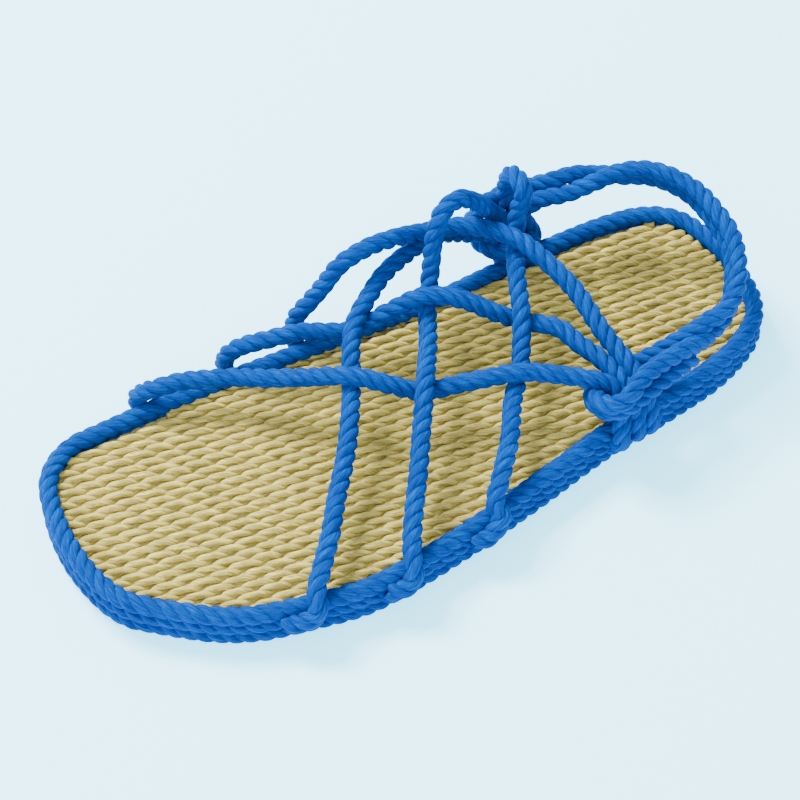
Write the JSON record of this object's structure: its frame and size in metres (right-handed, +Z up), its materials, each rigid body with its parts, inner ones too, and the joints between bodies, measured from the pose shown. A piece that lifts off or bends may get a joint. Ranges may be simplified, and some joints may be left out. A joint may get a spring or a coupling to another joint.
{
  "type": "rope sandal",
  "caption": "Left-foot sandal of laid rope: coiled rope rim round a bed of twisted straw cords, woven instep straps and a doubled heel strap.",
  "frame": {"origin": "on the floor, on the flat underside of the footbed, under the middle of the rim's length and on its long axis", "axes": "+X from toe to heel, +Y to the inner side of the foot, +Z up"},
  "size_m": [0.2684, 0.1216, 0.0674],
  "materials": {
    "blue_rope": "laid three-strand rope, satin fibres",
    "straw_cord": "twisted straw cord, dry and slightly glossy"
  },
  "bodies": {
    "root": {"footbed": "straw_cord", "rim_rope_bottom": "blue_rope", "rim_rope_middle": "blue_rope", "rim_rope_top": "blue_rope", "instep_straps": "blue_rope", "heel_strap": "blue_rope"}
  },
  "joints": []
}
